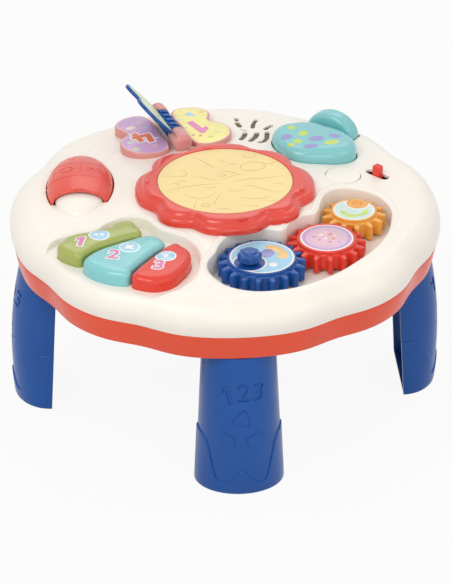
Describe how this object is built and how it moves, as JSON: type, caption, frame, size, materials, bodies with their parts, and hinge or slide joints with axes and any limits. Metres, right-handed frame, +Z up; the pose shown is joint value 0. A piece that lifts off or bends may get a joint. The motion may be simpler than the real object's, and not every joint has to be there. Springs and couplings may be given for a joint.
{
  "type": "musical activity table",
  "caption": "Round play table on four legs with a drum pad, press keys, a hand-turned train of meshing gears, push buttons, a slide switch and a turning page",
  "frame": {"origin": "on the floor under the centre of the table top, midway between the four legs", "axes": "+Z up; -Y is the front, where the front leg stands; +X to the viewer's right; the legs stand along X and Y"},
  "size_m": [0.3496, 0.3496, 0.2146],
  "materials": {
    "cream_plastic": "smooth moulded plastic",
    "skirt_red": "smooth moulded plastic",
    "bright_red": "smooth moulded plastic",
    "leg_blue": "smooth moulded plastic",
    "teal_plastic": "smooth moulded plastic",
    "green_plastic": "smooth moulded plastic",
    "pad_yellow": "fine matt drum skin of moulded plastic",
    "gear_orange": "smooth moulded plastic",
    "book_pink": "smooth moulded plastic",
    "white_plastic": "satin moulded plastic",
    "steel": "plain bright steel",
    "speaker_black": "black paper cone and frame",
    "board_green": "lacquered board",
    "cell_wrap": "plain wrapped cell"
  },
  "bodies": {
    "table": {"top_casing": "cream_plastic", "lower_casing": "skirt_red", "leg_front": "leg_blue", "leg_right": "leg_blue", "leg_back": "leg_blue", "leg_left": "leg_blue", "drum_ring": "bright_red", "switch_body": "steel", "gear_pin_blue": "steel", "gear_pin_red": "steel", "gear_pin_yellow": "steel", "book_board_left": "book_pink", "book_board_right": "book_pink", "book_barrel_front": "book_pink", "book_barrel_back": "book_pink", "book_pin": "steel", "circuit_board": "board_green", "drum_contact": "white_plastic", "speaker": "speaker_black", "battery_door": "skirt_red", "cell_1": "cell_wrap", "cell_2": "cell_wrap", "cell_3": "cell_wrap", "door_screw": "steel", "casing_screw_1": "steel", "casing_screw_2": "steel", "casing_screw_3": "steel", "casing_screw_4": "steel"},
    "drum": {"drum_pad": "pad_yellow"},
    "green_key": {"key_green": "green_plastic"},
    "teal_key": {"key_teal": "teal_plastic"},
    "red_key": {"key_red": "bright_red"},
    "shell": {"shell_button": "bright_red"},
    "spotted": {"spotted_button": "teal_plastic"},
    "fin": {"fin_button": "teal_plastic"},
    "round": {"round_button": "white_plastic"},
    "lever": {"switch_lever": "bright_red"},
    "gear_first": {"gear_blue": "leg_blue", "crank_pin": "steel"},
    "gear_middle": {"gear_red": "bright_red"},
    "gear_last": {"gear_yellow": "gear_orange"},
    "knob": {"crank_knob": "leg_blue"},
    "page": {"page_blue": "leg_blue"}
  },
  "joints": [
    {"name": "drum_press", "type": "slide", "parent": "table", "child": "drum", "axis": [0, 0, -1], "range_m": [0, 0.0015], "stiffness_N_per_m": 1500},
    {"name": "green_key_press", "type": "slide", "parent": "table", "child": "green_key", "axis": [0, 0, -1], "range_m": [0, 0.002], "stiffness_N_per_m": 500},
    {"name": "teal_key_press", "type": "slide", "parent": "table", "child": "teal_key", "axis": [0, 0, -1], "range_m": [0, 0.002], "stiffness_N_per_m": 500},
    {"name": "red_key_press", "type": "slide", "parent": "table", "child": "red_key", "axis": [0, 0, -1], "range_m": [0, 0.002], "stiffness_N_per_m": 500},
    {"name": "shell_press", "type": "slide", "parent": "table", "child": "shell", "axis": [0, 0, -1], "range_m": [0, 0.0015], "stiffness_N_per_m": 600},
    {"name": "spotted_press", "type": "slide", "parent": "table", "child": "spotted", "axis": [0, 0, -1], "range_m": [0, 0.0018], "stiffness_N_per_m": 800},
    {"name": "fin_press", "type": "slide", "parent": "table", "child": "fin", "axis": [0, 0, -1], "range_m": [0, 0.0018], "stiffness_N_per_m": 600},
    {"name": "round_press", "type": "slide", "parent": "table", "child": "round", "axis": [0, 0, -1], "range_m": [0, 0.0012], "stiffness_N_per_m": 400},
    {"name": "lever_slide", "type": "slide", "parent": "table", "child": "lever", "axis": [0.7071, -0.7071, 0], "range_m": [-0.0045, 0.0045]},
    {"name": "first_gear_spin", "type": "hinge", "parent": "table", "child": "gear_first", "pos_m": [0.0214, -0.0966, 0.162], "axis": [0, 0, 1], "continuous": true},
    {"name": "middle_gear_spin", "type": "hinge", "parent": "table", "child": "gear_middle", "pos_m": [0.07465, -0.07005, 0.162], "axis": [0, 0, 1], "continuous": true},
    {"name": "last_gear_spin", "type": "hinge", "parent": "table", "child": "gear_last", "pos_m": [0.10079, -0.02655, 0.162], "axis": [0, 0, 1], "continuous": true},
    {"name": "knob_spin", "type": "hinge", "parent": "gear_first", "child": "knob", "pos_m": [0.011, -0.1049, 0.175], "axis": [0, 0, 1], "continuous": true},
    {"name": "page_turn", "type": "hinge", "parent": "table", "child": "page", "pos_m": [-0.03783, 0.11083, 0.1794], "axis": [-0.2823, 0.9593, 0], "range_deg": [-48, 132]}
  ],
  "couplings": [
    {"joint": "middle_gear_spin", "follows": "first_gear_spin", "ratio": -1.125},
    {"joint": "last_gear_spin", "follows": "first_gear_spin", "ratio": 1.3846}
  ]
}
